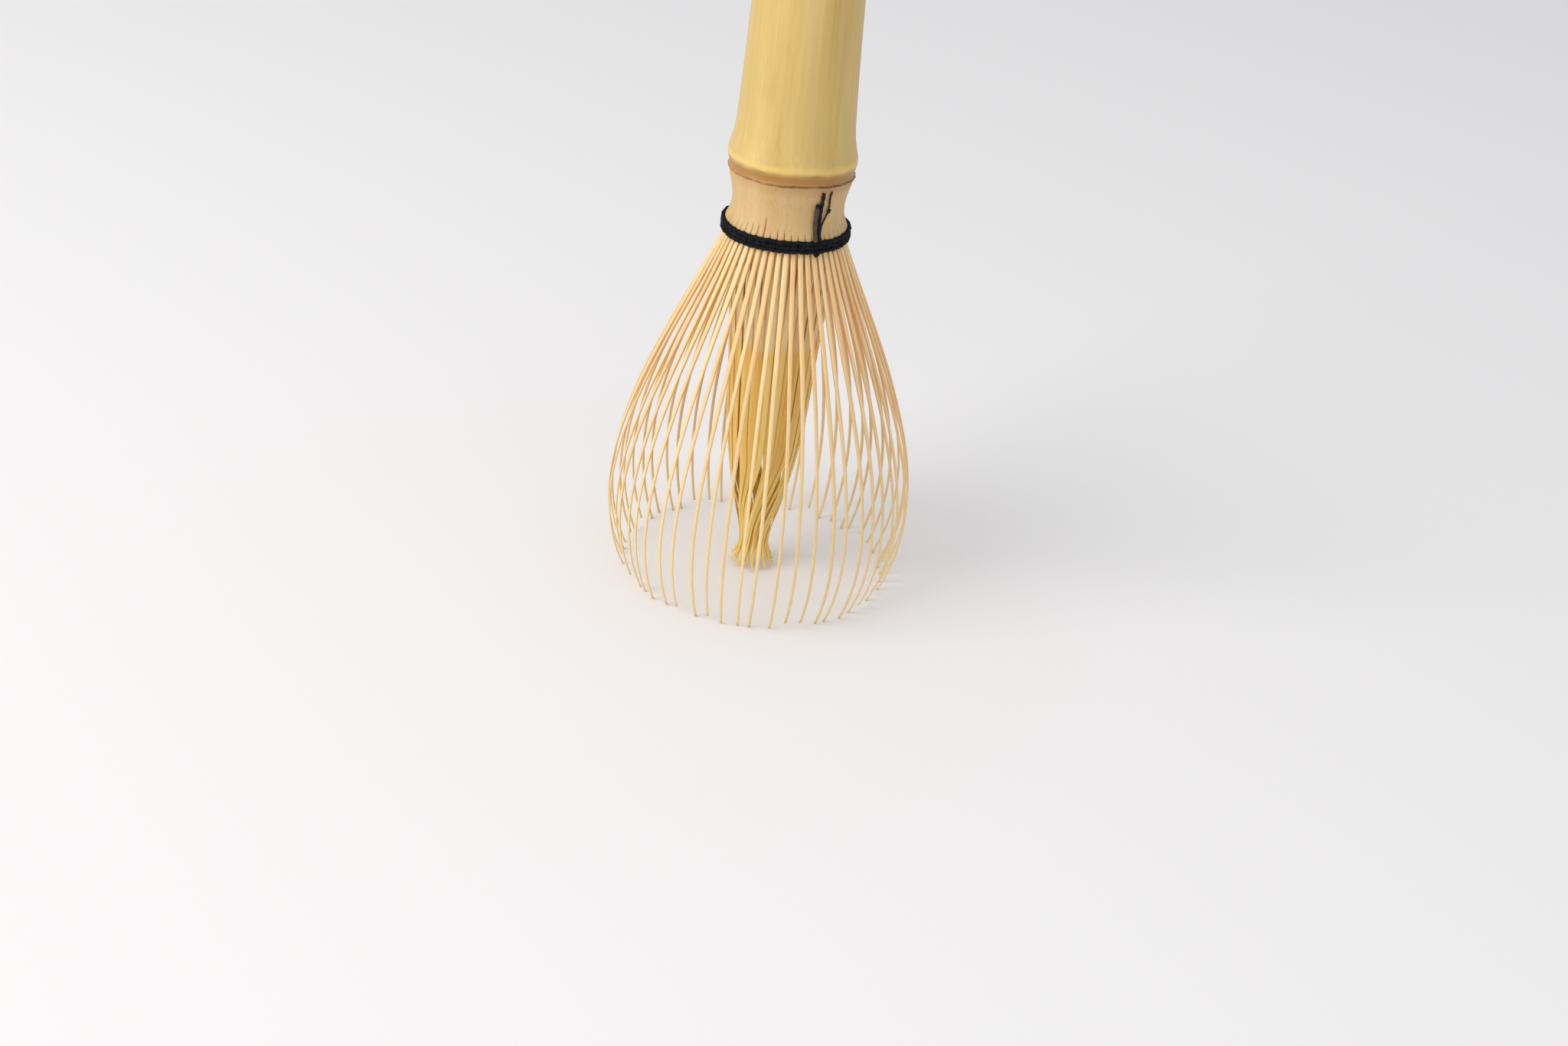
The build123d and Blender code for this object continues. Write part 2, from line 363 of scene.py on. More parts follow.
# Bands round the node in millimetres above the scar: where each starts, is full from, is full to, and ends
# Painted highlight along the crest of the ridge
RIDGE_PAINTED_HIGHLIGHT = (1.9, 2.5, 2.9, 3.7)
# Painted shade in the undercut between the crest and the scar
UNDER_RIDGE_PAINTED_SHADE = (-0.3, 0.5, 1.4, 2.5)
# A darker line, broken into patches, just under the crest
LINE_UNDER_CREST = (1.66, 1.80, 1.92, 2.10)
SHADE_UNDER_SCAR = (-2.4, -0.8, -0.3, 0.0)
SCAR_LINE = (-0.30, -0.10, 0.14, 0.34)


def culm_material():
    """Dry bamboo: a smooth skin above the scar, a carved and fibrous collar below it."""
    n = Nodes("bamboo_culm")
    coords = n.object_coords()
    streaks = n.noise(n.scaled(coords, (1400, 1400, 30)), 1.0, 4.0, 0.6)
    broad = n.noise(n.scaled(coords, (190, 190, 14)), 1.0, 2.0)
    mottle = n.noise(n.scaled(coords, (150, 150, 100)), 1.0, 3.0)
    fibre = n.noise(n.scaled(coords, (3800, 3800, 90)), 1.0, 3.0, 0.65)
    dots = n.noise(n.scaled(coords, (800, 800, 800)), 1.0, 2.0)
    skin = n.ramp(n.weighted((broad, 0.6), (streaks, 0.4)), [
        (0.28, (180, 148, 82)), (0.44, (197, 167, 98)), (0.58, (205, 176, 108)), (0.74, (214, 187, 122))])
    carved = n.ramp(n.weighted((fibre, 0.45), (broad, 0.55)), [
        (0.28, (184, 147, 92)), (0.46, (197, 163, 110)), (0.60, (204, 173, 123)), (0.78, (214, 188, 142))])
    height = n.attribute("from_scar")
    colour = n.mix(n.remap(height, -0.12, 0.12), carved, skin)
    # Painted highlight on the ridge's crest, pale yellow
    colour = n.mix(n.window(height, *RIDGE_PAINTED_HIGHLIGHT), colour, (232, 198, 110), 0.5)
    # Painted shade, brown, in the undercut from the scar up to the crest
    colour = n.mix(n.window(height, *UNDER_RIDGE_PAINTED_SHADE), colour, (150, 94, 22), 0.74)
    colour = n.mix(n.remap(mottle, 0.60, 0.74), colour, (182, 146, 86), 0.22)
    weight = n.attribute("scar_weight")
    # A darker patchy line just under the crest
    under_crest_line = n.math("MULTIPLY", n.window(height, *LINE_UNDER_CREST), n.remap(mottle, 0.42, 0.60))
    colour = n.mix(under_crest_line, colour, (132, 84, 30), 0.55)
    shade = n.math("MULTIPLY", n.window(height, *SHADE_UNDER_SCAR), weight)
    colour = n.mix(shade, colour, (166, 112, 62), 0.5)
    line = n.window(height, *SCAR_LINE)
    line = n.math("MULTIPLY", line, n.remap(dots, 0.34, 0.54, 0.62, 1.0))
    colour = n.mix(line, colour, n.mix(weight, (184, 118, 56), (88, 48, 14)), 0.95)
    colour = n.mix(n.attribute("cut"), colour, (182, 130, 68), 0.8)
    pores = n.add("ShaderNodeTexVoronoi", feature="F1")
    pores.inputs["Scale"].default_value = 1.0
    n.link(n.scaled(coords, (1900, 1900, 20)), pores.inputs["Vector"])
    grain = n.mix(n.remap(pores.outputs["Distance"], 0.28, 0.16), (226, 200, 150), (150, 108, 62))
    colour = n.mix(n.attribute("end_grain"), colour, grain)
    n.bump(n.weighted((streaks, 0.5), (fibre, 0.5)), 0.05, 0.4)
    rough = n.remap(height, -0.2, 0.4, 0.62, 0.42)
    rough = n.math("ADD", rough, n.math("MULTIPLY", n.math("SUBTRACT", streaks, 0.5), 0.2))
    return n.finish(colour, rough, Coat_Weight=0.06, Coat_Roughness=0.4, Specular_IOR_Level=0.38)


def tine_material(name, unshaved, shaved, edge_tone, tip_tone, tip_start):
    """Shaved bamboo strip: long fibres along it, warmer cut edges, and a tone of its own towards the tip."""
    n = Nodes(name)
    place = n.attribute("fibre", vector=True)
    fine = n.noise(n.scaled(place, (7.0, 0.22, 1.0)), 1.0, 4.0, 0.65)
    broad = n.noise(n.scaled(place, (1.6, 0.06, 1.0)), 1.0, 2.0)
    value = n.weighted((fine, 0.46), (broad, 0.26), (n.attribute("tone"), 0.28))
    colour = n.mix(n.attribute("shaved"), n.ramp(value, unshaved), n.ramp(value, shaved))
    colour = n.mix(n.attribute("edge"), colour, edge_tone, 0.5)
    colour = n.mix(n.remap(n.attribute("along"), tip_start, 1.0), colour, tip_tone, 0.75)
    n.bump(n.weighted((fine, 1.0), (broad, 0.4)), 0.03, 0.5)
    rough = n.remap(fine, 0.3, 0.7, 0.42, 0.60)
    return n.finish(colour, rough, Specular_IOR_Level=0.4, Subsurface_Weight=0.7,
                    Subsurface_Scale=0.9 * MM, Subsurface_Radius=(1.0, 0.7, 0.42))


def thread_material():
    """Twisted dark cotton, nearly black, with grey specks painted in as highlights, and paler worn fibres on
    the ends that are given a tone.
    """
    n = Nodes("thread")
    place = n.attribute("fibre", vector=True)
    fibres = n.noise(n.scaled(place, (6.5, 1.3, 6.5)), 1.0, 4.0, 0.7)
    fuzz = n.noise(n.scaled(place, (15.0, 4.5, 15.0)), 1.0, 2.0, 0.6)
    patches = n.noise(n.object_coords(), 1100.0, 2.0)
    # The ramp's two upper stops paint grey highlights onto specks of the fibres
    colour = n.ramp(n.weighted((fibres, 0.5), (fuzz, 0.3), (patches, 0.2)), [
        (0.38, (6, 8, 11)), (0.50, (15, 17, 21)), (0.58, (36, 39, 43)), (0.70, (104, 102, 96))])
    worn = n.math("MULTIPLY", n.attribute("tone"), n.remap(fibres, 0.3, 0.65, 0.55, 1.3))
    colour = n.mix(worn, colour, (132, 110, 92))
    n.bump(n.weighted((fibres, 0.75), (fuzz, 0.25)), 0.14, 1.0)
    return n.finish(colour, 0.7, Specular_IOR_Level=0.14)


PALE_BAMBOO = [
    (0.28, (214, 172, 112)), (0.44, (230, 196, 142)), (0.58, (238, 208, 158)), (0.76, (245, 222, 180))]
CREAM_BAMBOO = [
    (0.28, (208, 178, 126)), (0.44, (221, 195, 148)), (0.58, (228, 204, 160)), (0.76, (236, 217, 180))]
GOLD_BAMBOO = [
    (0.26, (216, 150, 62)), (0.42, (235, 178, 88)), (0.56, (243, 193, 106)), (0.76, (249, 212, 138))]
culm_bamboo = culm_material()
outer_bamboo = tine_material("bamboo_outer_tine", PALE_BAMBOO, CREAM_BAMBOO,
                             edge_tone=(204, 152, 92), tip_tone=(214, 195, 152), tip_start=0.4)
inner_bamboo = tine_material("bamboo_inner_tine", PALE_BAMBOO, GOLD_BAMBOO,
                             edge_tone=(206, 136, 56), tip_tone=(248, 202, 118), tip_start=0.58)
cotton = thread_material()


# ---------------------------------------------------------------------------------------------- culm

def scar_height(azimuth):
    """Height of the scar line, which wanders a little round the node."""
    a = np.radians(azimuth - FRONT)
    wander = 0.22 * np.cos(a - 0.1) + 0.09 * np.sin(3 * a + 0.6)
    return SCAR_Z + wander + 0.05 * np.sin(7 * a) + 0.04 * np.sin(19 * a)


def scar_weight(azimuth):
    """How heavy the scar is: strongest on the front right, faint on the left."""
    a = np.radians(azimuth - FRONT)
    return np.clip(0.55 + 0.42 * np.cos(a - 1.05) + 0.12 * np.sin(9 * a + 2), 0.1, 1.0)


def outline(knots, heights):
    """(radius, height) points of an outline given by (height, radius) knots."""
    z, radius = np.array(knots).T
    return np.stack([cubic_spline(z, radius, heights), heights], 1)


def quarter_round(centre_radius, is_outer):
    """Rounded edge of the handle's end, from its outer wall in or from its face into the bore."""
    t = np.linspace(0, math.pi / 2, 6)
    middle = HANDLE_TOP - RIM_ROUND
    if is_outer:
        return np.stack([centre_radius + RIM_ROUND * np.cos(t), middle + RIM_ROUND * np.sin(t)], 1)
    return np.stack([centre_radius - RIM_ROUND * np.sin(t), middle + RIM_ROUND * np.cos(t)], 1)


def culm_profile():
    """Section of the wall from the diaphragm's underside to the bore's floor, and which rows are outside."""
    underside = [(r, DIAPHRAGM_BOTTOM_Z - DIAPHRAGM_DISH * (r / COLLAR_INNER_RADIUS) ** 2)
                 for r in (0.0, 2.0, 4.0, 6.0, 8.0, COLLAR_INNER_RADIUS)]
    hollow = [(COLLAR_INNER_RADIUS, z) for z in np.linspace(COLLAR_INNER_TOP_Z, SLIT_TOP_Z, 8)]
    # Heights of the rows outside, closer together round the scar
    collar_rows = np.concatenate([np.linspace(STUB_TOP_Z, 77.6, 34), np.linspace(77.7, SCAR_Z, 9)])
    handle_rows = np.concatenate([np.linspace(SCAR_Z + 0.1, 83, 34), np.linspace(83.4, 117.2, 26)])
    collar = outline(COLLAR_KNOTS, collar_rows)
    handle = outline(HANDLE_KNOTS, handle_rows)
    edge = quarter_round(HANDLE_KNOTS[-1][1] - RIM_ROUND, is_outer=True)
    face = [(r, HANDLE_TOP) for r in np.linspace(8.5, 6.9, 6)]
    mouth = quarter_round(BORE_RADIUS + RIM_ROUND, is_outer=False)
    bore = [(BORE_RADIUS, z) for z in np.linspace(116.0, BORE_FLOOR_Z + 0.3, 14)]
    bore_floor = [(r, BORE_FLOOR_Z - BORE_FLOOR_DISH * (1 - (r / BORE_RADIUS) ** 2))
                  for r in (5.7, 4.5, 3.0, 1.5, 0.0)]
    stretches = [underside, hollow, COMB_SECTION, collar, handle, edge, face, mouth, bore, bore_floor]
    rows = np.concatenate(stretches)
    first = len(underside) + len(hollow) + len(COMB_SECTION) - 2
    last = first + 2 + len(collar) + len(handle)
    is_outside = (np.arange(len(rows)) >= first) & (np.arange(len(rows)) < last)
    return rows, is_outside


# Columns of one strip of the comb, from slit to slit: place across it in strips, how the slit's half width
# moves the column, and how deep the slit is cut there
STRIP_COLUMNS = [(-0.5, 0, 1.0), (-0.5, 1, 1.0), (-0.47, 1, 0.05), (-0.25, 0, 0.0),
                 (0.0, 0, 0.0), (0.25, 0, 0.0), (0.47, -1, 0.05), (0.5, -1, 1.0)]


def make_culm():
    """Handle, node and collar in one skin, with the slits of the comb cut between the outer strips."""
    profile, is_outside = culm_profile()
    radius_at, z_at = profile.T
    shape = (len(profile), OUTER_COUNT * len(STRIP_COLUMNS))
    points = np.zeros((*shape, 3))
    from_scar, weight, cut = np.zeros(shape), np.zeros(shape), np.zeros(shape)
    slit_tops = SLIT_TOP_Z + RNG.uniform(-0.6, 0.5, OUTER_COUNT)
    slit_tops[round(LONG_SLIT_AZIMUTH / OUTER_PITCH - 0.5) % OUTER_COUNT] = LONG_SLIT_TOP_Z
    for column in range(shape[1]):
        strip, part = divmod(column, len(STRIP_COLUMNS))
        place, widen, depth = STRIP_COLUMNS[part]
        top = slit_tops[strip - 1] if place < 0 else slit_tops[strip]
        deep = np.where(is_outside, smooth(z_at, top, top - SLIT_TAPER), 0.0) * depth
        half = SLIT_TIP_HALF + SLIT_OPENING * np.clip((top - z_at) / SLIT_OPENING_LENGTH, 0, 1)
        azimuth = (strip + place + widen * half) * OUTER_PITCH
        middle = (strip + place) * OUTER_PITCH
        a = math.radians(middle - FRONT)
        shift = scar_height(middle) - SCAR_Z
        z = np.where(is_outside, z_at + shift * smooth(np.abs(z_at - SCAR_Z), 6.0, 0.5), z_at)
        uneven = 0.05 * math.sin(2 * a + 0.7) + 0.03 * math.sin(5 * a + 2.0)
        lip = np.exp(-((z - SCAR_Z - shift - 0.02) / LIP_SPREAD) ** 2)
        lip = lip * (LIP_LEAST + LIP_GAIN * scar_weight(middle))
        lip = lip * (1 + 0.25 * math.sin(31 * a) + 0.2 * math.sin(53 * a))
        radius = radius_at + np.where(is_outside, uneven * smooth(z_at, 70, 76) + lip, 0) - SLIT_DEPTH * deep
        points[:, column, 0] = radius * np.cos(np.radians(azimuth))
        points[:, column, 1] = radius * np.sin(np.radians(azimuth))
        points[:, column, 2] = z
        from_scar[:, column] = np.where(is_outside, z - SCAR_Z - shift, HOLLOW_MARK)
        weight[:, column] = scar_weight(middle)
        cut[:, column] = np.where(is_outside, np.clip(deep * 2, 0, 1), smooth(z_at, 79, 76))
    on_end = z_at > HANDLE_TOP - 0.05
    on_rim = (z_at > HANDLE_TOP - RIM_ROUND) & (radius_at > 8.8)
    from_scar[~is_outside & (z_at > BORE_FLOOR_Z - 1)] = BORE_MARK
    from_scar[on_rim] = RIM_MARK
    end_grain = np.where(on_end[:, None], 1.0, 0.0) * np.ones(shape)
    attributes = {"from_scar": from_scar, "scar_weight": weight, "cut": cut, "end_grain": end_grain}
    piece = grid_piece("culm_body", points, culm_bamboo, attributes, caps=False)
    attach(piece, "culm")
    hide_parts("culm")


# ---------------------------------------------------------------------------------------------- tines

# Corners of a strip's section in half widths and half thicknesses, crowned on the side of the skin and flat
# inside, and how much each one is a cut edge
SECTION = np.array([
    (-0.90, 0.78), (-0.45, 0.96), (0.0, 1.0), (0.45, 0.96), (0.90, 0.78), (1.0, 0.3),
    (0.98, -0.6), (0.86, -1.0), (0.0, -0.96), (-0.86, -1.0), (-0.98, -0.6), (-1.0, 0.3)])
SECTION_EDGE = np.array([0.35, 0.05, 0.0, 0.05, 0.35, 1.0, 1.0, 0.7, 0.4, 0.7, 1.0, 1.0])


def strip_piece(name, spine, side, out, widths, thicknesses, tone, shaved, material):
    """A bamboo strip along a spine; side and out are the directions across it and away from the axis."""
    half_w, half_t = widths[:, None] / 2, thicknesses[:, None] / 2
    across, depth = half_w * SECTION[:, 0], half_t * SECTION[:, 1]
    points = spine[:, None, :] + side[:, None, :] * across[:, :, None] + out[:, None, :] * depth[:, :, None]
    shape = points.shape[:2]
    run = run_length(spine)
    attributes = {
        "fibre": np.stack([across, np.broadcast_to(run[:, None], shape), tone * 57 + depth], -1),
        "along": np.broadcast_to((run / run[-1])[:, None], shape),
        "edge": np.broadcast_to(SECTION_EDGE[None, :], shape),
        "shaved": np.broadcast_to(shaved[:, None], shape),
        "tone": np.full(shape, tone),
    }
    return grid_piece(name, points, material, attributes)


def make_outer_tine(number):
    """One tine of the cage, hung at the lower edge of the thread and hidden behind it at its root."""
    azimuth = number * OUTER_PITCH
    outward, across, up = direction(azimuth), direction(azimuth + 90), np.array([0, 0, 1.0])
    root = outward * OUTER_SPINE[0][0] + up * OUTER_SPINE[0][1]
    lean = Matrix.Rotation(math.radians(OUTER_LEAN * wobble(number, 0.4)), 3, Vector(outward))
    flare = Matrix.Rotation(math.radians(OUTER_FLARE * wobble(number, 1.9)), 3, Vector(-across))
    turn = np.array(flare @ lean)
    flat = np.concatenate([HIDDEN_ROOT, curve_through(OUTER_SPINE, 74)]) - np.array(OUTER_SPINE[0])
    spine = flat[:, :1] * outward + flat[:, 1:] * up
    is_free = np.arange(len(spine)) >= len(HIDDEN_ROOT)
    spine = np.where(is_free[:, None], spine @ turn.T, spine) + root
    spine = spine[spine[:, 2] > max(0, 0.25 * wobble(number, 3.1))]
    along = np.linspace(0, 1, len(spine))
    drift = OUTER_DRIFT * np.sin(math.pi * along) * np.sin(2.3 * math.pi * along + number)
    drift = drift * smooth(along, 0.02, 0.3)
    spine = spine + drift[:, None] * across
    tangent = unit(np.gradient(spine, axis=0))
    side = unit(across - tangent * (tangent @ across)[:, None])
    side = turned(side, tangent, np.radians(6) * np.sin(1.7 * number + 3 * along) * smooth(along, 0.05, 0.6))
    out = np.cross(side, tangent)
    out *= np.sign(out @ outward)[:, None]
    widths = between_knots(OUTER_WIDTHS, along)
    widths *= (1 + 0.05 * math.sin(3.1 * number)) * (1 + 0.03 * np.sin(9 * along + 2 * number))
    thicknesses = between_knots(OUTER_THICKNESSES, along)
    shaved = smooth(spine[:, 2], OUTER_SHAVE_START_Z + 2 * wobble(number, 0.7), OUTER_SHAVE_FULL_Z)
    tone = 0.5 + 0.42 * wobble(number, 5.0)
    name = f"outer_tine_{number + 1:02d}"
    piece = strip_piece(name + "_strip", spine, side, out, widths, thicknesses, tone, shaved, outer_bamboo)
    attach(piece, name)
    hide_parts(name)


def make_inner_tine(number):
    """One strip of the inner bundle: broad above, drawn in with its clump and twisted at the waist."""
    clump, place = divmod(number, CLUMP_SIZE)
    from_middle = place - (CLUMP_SIZE - 1) / 2
    middle = (clump + 0.5) * CLUMP_SIZE * INNER_PITCH
    flat = curve_through(INNER_SPINE, 84)
    along = np.linspace(0, 1, len(flat))
    at_waist = smooth(along, 0.54, 0.78) * smooth(along, 0.95, 0.86)
    gathered = 1 - CLUMP_GATHER * at_waist * (1 + 0.4 * wobble(clump, 0.5))
    sway = CLUMP_SWAY * wobble(clump, 2.0) * smooth(along, 0.3, 0.7)
    swirl = BUNDLE_TWIST * (1 + 0.15 * wobble(number, 1.3)) * smooth(along, 0.62, 1.0)
    stray = TINE_STRAY * wobble(number, 3.7) * (0.4 + 0.6 * np.sin(math.pi * along))
    azimuth = np.radians(BUNDLE_SHIFT + middle + from_middle * INNER_PITCH * gathered + sway + swirl + stray)
    layer = number % 2 * 2 - 1
    radius = flat[:, 0] + LAYER_OFFSET * layer * smooth(along, 0.04, 0.2)
    waist_offset = WAIST_LAYER_OFFSET * layer - WAIST_TIGHTENING
    radius = radius + waist_offset * smooth(along, 0.68, 0.88) * smooth(along, 1.0, 0.93)
    radius = radius + TIP_SPREAD * wobble(number, 2.2) * smooth(along, 0.92, 1.0)
    height = flat[:, 1] + (0.5 + 0.5 * wobble(number, 4.4)) * TIP_STAGGER * smooth(along, 0.86, 1.0)
    outward = np.stack([np.cos(azimuth), np.sin(azimuth), np.zeros_like(azimuth)], 1)
    spine = radius[:, None] * outward
    spine[:, 2] = height
    tangent = unit(np.gradient(spine, axis=0))
    side = unit(np.cross(tangent, outward))
    tilt = np.radians(5 * wobble(number, 0.2)) * smooth(along, 0.03, 0.3)
    side = turned(side, tangent, tilt + np.radians(40) * wobble(number, 0.8) * smooth(along, 0.8, 1.0))
    out = np.cross(side, tangent)
    out *= np.sign(np.sum(out * outward, axis=1, keepdims=True) + 1e-9)
    widths = between_knots(INNER_WIDTHS, along)
    widths *= 1 + 0.06 * wobble(number, 1.1)
    thicknesses = between_knots(INNER_THICKNESSES, along)
    shaved = smooth(height, INNER_SHAVE_START_Z + 1.5 * wobble(number, 0.3), INNER_SHAVE_FULL_Z)
    tone = 0.5 + 0.5 * wobble(number, 6.1)
    name = f"inner_tine_{number + 1:02d}_strip"
    piece = strip_piece(name, spine, side, out, widths, thicknesses, tone, shaved, inner_bamboo)
    group, member = divmod(number, GROUP_SIZE)
    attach(piece, f"inner_tines_{group + 1}")
    if member == 0:
        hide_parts(f"inner_tines_{group + 1}")


# ---------------------------------------------------------------------------------------------- thread

def rope_piece(name, path, radius, lay, plies=2, relief=1.0, closed=False, tone=0.0, around=18):
    """Twisted thread along a path: its plies turn once in each lay, and a low relief flattens them."""
    ahead = np.roll(path, -1, 0) if closed else np.concatenate([path[1:], path[-1:] * 2 - path[-2:-1]])
    behind = np.roll(path, 1, 0) if closed else np.concatenate([path[:1] * 2 - path[1:2], path[:-1]])
    tangent = unit(ahead - behind)
    outward = path * np.array([1, 1, 0])
    normal = unit(outward - tangent * np.sum(outward * tangent, axis=1, keepdims=True))
    binormal = np.cross(tangent, normal)
    run = run_length(path)
    whole = run[-1] + (np.linalg.norm(path[0] - path[-1]) if closed else 0)
    turns = round(whole / lay * plies) / plies if closed else whole / lay
    phi = np.linspace(0, 2 * math.pi, around, endpoint=False)
    angle = phi[None, :] - 2 * math.pi * turns * run[:, None] / whole
    shift = radius * PLY_OFFSET[plies]
    ply = radius - shift
    reach = np.full(angle.shape, ply * 0.2)
    for k in range(plies):
        from_ply = angle - 2 * math.pi * k / plies
        inside = ply ** 2 - (shift * np.sin(from_ply)) ** 2
        far_side = shift * np.cos(from_ply) + np.sqrt(np.clip(inside, 0, None))
        reach = np.maximum(reach, np.where(inside > 0, far_side, 0))
    reach = reach * relief + 0.94 * radius * (1 - relief)
    if not closed:
        from_end = np.clip(np.minimum(run, run[-1] - run) / (0.8 * radius), 0, 1)
        reach = reach * np.sqrt(np.clip(1 - (1 - from_end) ** 2, 0.05, 1))[:, None]
    points = (path[:, None, :] + normal[:, None, :] * (reach * np.cos(phi))[:, :, None]
              + binormal[:, None, :] * (reach * np.sin(phi))[:, :, None])
    runs = np.broadcast_to(run[:, None], angle.shape)
    fibre = np.stack([np.cos(angle) * radius * 3, runs, np.sin(angle) * radius * 3], -1)
    tones = np.broadcast_to(np.asarray(tone, float).reshape(-1, 1), angle.shape)
    piece = grid_piece(name, points, cotton, {"fibre": fibre, "tone": tones}, closed_rows=closed)
    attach(piece, "culm")
    return piece


def ring_path(radius, z, samples, dip=0.0, sway=0.0, phase=0.0):
    """Closed path round the comb that dips into the gap between each two strips."""
    a = np.linspace(0, 2 * math.pi, samples, endpoint=False)
    r = radius - dip * (0.5 - 0.5 * np.cos(OUTER_COUNT * a)) ** 2 + 0.03 * np.sin(5 * a + phase)
    r = r + 0.12 * dip * np.cos(OUTER_COUNT / 2 * a + phase) * (0.5 + 0.5 * np.cos(OUTER_COUNT * a))
    height = z + sway * np.sin(OUTER_COUNT / 2 * a + phase)
    height = height + 0.04 * np.sin(3 * a + phase) + 0.02 * np.sin(13 * a)
    return np.stack([r * np.cos(a), r * np.sin(a), height], 1)


def collar_path(stops):
    """Smooth path through (azimuth, radius, height) stops."""
    points = [direction(azimuth) * radius + np.array([0, 0, z]) for azimuth, radius, z in stops]
    return curve_through(points, END_POINTS)


def knot_path(azimuth, radius, z, size):
    """Closed trefoil that lies against the collar."""
    t = np.linspace(0, 2 * math.pi, 72, endpoint=False)
    across, up = direction(azimuth + 90), np.array([0, 0, 1.0])
    loop = (2 + np.cos(3 * t)) * size / 3
    return (direction(azimuth) * radius + up * z + (loop * np.cos(2 * t))[:, None] * across
            + (loop * np.sin(2 * t))[:, None] * up + (np.sin(3 * t) * size / 3)[:, None] * direction(azimuth))


# Routes of the loose ends up the collar, as (azimuth, radius, height)
SHORT_END = [(-61.2, 11.3, 68.9), (-61.0, 10.55, 71.0), (-61.0, 10.50, 73.6), (-61.3, 10.85, 75.7)]
LONG_END = [(-57.0, 11.4, 69.0), (-57.0, 10.58, 71.0), (-57.1, 10.56, 74.0), (-57.8, 11.25, 77.9)]
THIN_END = [(-48.4, 11.15, 77.9), (-48.4, 10.70, 75.8), (-47.6, 10.42, 74.2), (-52.0, 10.35, 72.4),
            (-55.0, 10.6, 70.6)]


def make_thread():
    """Three turns round the comb, the turn between its rows, and the three loose ends with their knots."""
    for turn in range(BAND_TURNS):
        z = BAND_LOW_Z + (turn + 0.5) * BAND_PITCH
        path = ring_path(BAND_RADIUS, z, OUTER_COUNT * 20, BAND_DIP, BAND_SWAY, math.pi * turn)
        name = f"thread_turn_{turn + 1}"
        piece = rope_piece(name, path, BAND_THREAD_RADIUS, BAND_LAY, plies=3, relief=0.6, closed=True)
        if turn == 0:
            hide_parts(*THREAD_NODES)
    inner_turn = ring_path(INNER_TURN_RADIUS, INNER_TURN_Z, 480)
    rope_piece("thread_inner", inner_turn, INNER_TURN_THREAD_RADIUS, lay=1.2, closed=True)
    worn_tip = 0.36 * smooth(np.linspace(0, 1, END_POINTS), 0.97, 0.86)
    rope_piece("thread_short_end", collar_path(SHORT_END), radius=0.45, lay=4.5, relief=0.35, tone=worn_tip)
    rope_piece("thread_long_end", collar_path(LONG_END), radius=0.36, lay=2.6, relief=0.6, tone=0.03)
    rope_piece("thread_thin_end", collar_path(THIN_END), radius=0.19, lay=1.6, relief=0.6, tone=0.16)
    thin_knot = knot_path(azimuth=-47.6, radius=10.55, z=74.2, size=0.30)
    rope_piece("thread_thin_knot", thin_knot, radius=0.17, lay=1.0, closed=True, tone=0.08, around=12)
    start_knot = knot_path(azimuth=-59.4, radius=11.42, z=66.95, size=0.42)
    rope_piece("thread_start_knot", start_knot, radius=0.27, lay=1.2, closed=True, around=12)


# ---------------------------------------------------------------------------------------------- stage

FLOOR_REACH_M = 4.0
FLOOR_COLOUR = (238, 238, 238)
STUDIO_COLOUR = (246, 246, 250)
STUDIO_STRENGTH = 0.74
LAMP_AIM_M = (0, 0, 0.05)
# Lamp name, place in metres, size in metres, power in watts and colour
LAMPS = [
    ("key", (-0.75, -0.45, 0.60), 0.8, 7.5, (255, 250, 242)),
    ("fill", (0.30, -0.90, 0.40), 1.0, 1.0, (244, 247, 255)),
]


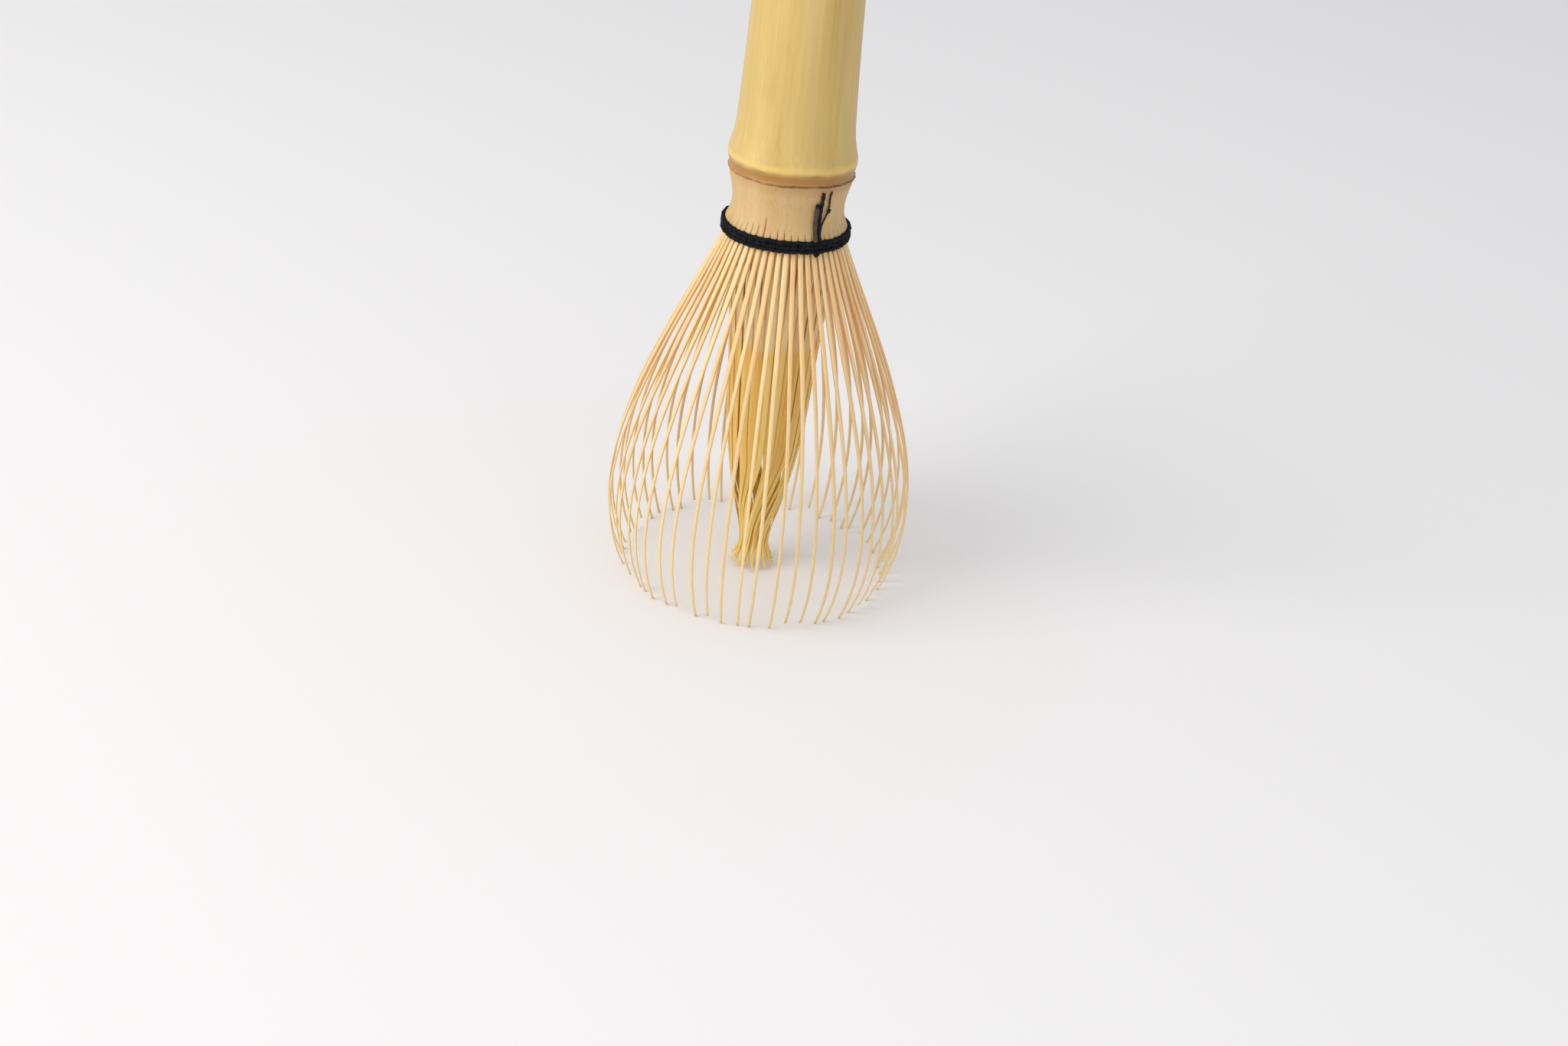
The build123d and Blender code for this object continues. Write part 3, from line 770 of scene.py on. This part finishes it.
def make_stage():
    """Pale floor, a bright even studio, a soft key light from the upper left and a weak fill."""
    floor = bpy.data.materials.new("floor_paint")
    floor.use_nodes = True
    shader = floor.node_tree.nodes["Principled BSDF"]
    shader.inputs["Base Color"].default_value = (*srgb(FLOOR_COLOUR), 1)
    shader.inputs["Roughness"].default_value = 0.9
    mesh = bpy.data.meshes.new("floor")
    corners = [(x * FLOOR_REACH_M, y * FLOOR_REACH_M, 0) for x, y in ((-1, -1), (1, -1), (1, 1), (-1, 1))]
    mesh.from_pydata(corners, [], [(0, 1, 2, 3)])
    mesh.materials.append(floor)
    plane = bpy.data.objects.new("floor", mesh)
    bpy.context.scene.collection.objects.link(plane)
    world = bpy.data.worlds.new("studio")
    world.use_nodes = True
    background = world.node_tree.nodes["Background"]
    background.inputs["Color"].default_value = (*srgb(STUDIO_COLOUR), 1)
    background.inputs["Strength"].default_value = STUDIO_STRENGTH
    bpy.context.scene.world = world
    for name, place, size, power, tint in LAMPS:
        light = bpy.data.lights.new(name, "AREA")
        light.size = size
        light.energy = power
        light.color = srgb(tint)
        lamp = bpy.data.objects.new(name, light)
        lamp.location = place
        aim = Vector(LAMP_AIM_M) - Vector(place)
        lamp.rotation_euler = aim.to_track_quat("-Z", "Y").to_euler()
        bpy.context.scene.collection.objects.link(lamp)


# Camera: its distance from a point on the axis, that point's height, and in degrees its angle above the level
# and how far it is turned away from the point
CAMERA_DISTANCE_M = 0.3984
CAMERA_AIM_HEIGHT_M = 0.04
CAMERA_ELEVATION = 23.536
CAMERA_YAW, CAMERA_PITCH, CAMERA_ROLL = -0.752, -3.952, 5.892


def make_camera():
    """50 mm lens, turned so that the handle leans a little to the right."""
    distance, elevation = CAMERA_DISTANCE_M, math.radians(CAMERA_ELEVATION)
    yaw, pitch, roll = math.radians(CAMERA_YAW), math.radians(CAMERA_PITCH), math.radians(CAMERA_ROLL)
    camera = bpy.data.objects.new("camera", bpy.data.cameras.new("camera"))
    camera.data.lens = 50.0
    camera.data.sensor_width = 36.0
    camera.data.clip_start = 0.01
    camera.data.dof.use_dof = False
    height = CAMERA_AIM_HEIGHT_M + distance * math.sin(elevation)
    place = Vector((0, -distance * math.cos(elevation), height))
    level = Matrix.Rotation(math.pi / 2 - elevation, 3, "X")
    turn = Matrix.Rotation(yaw, 3, "Y") @ Matrix.Rotation(pitch, 3, "X") @ Matrix.Rotation(roll, 3, "Z")
    camera.matrix_world = Matrix.Translation(place) @ (level @ turn).to_4x4()
    bpy.context.scene.collection.objects.link(camera)
    bpy.context.scene.camera = camera


make_camera()
make_culm()
for tine in range(OUTER_COUNT):
    make_outer_tine(tine)
for tine in range(INNER_COUNT):
    make_inner_tine(tine)
make_thread()
make_stage()
bpy.context.scene.view_settings.view_transform = "Standard"
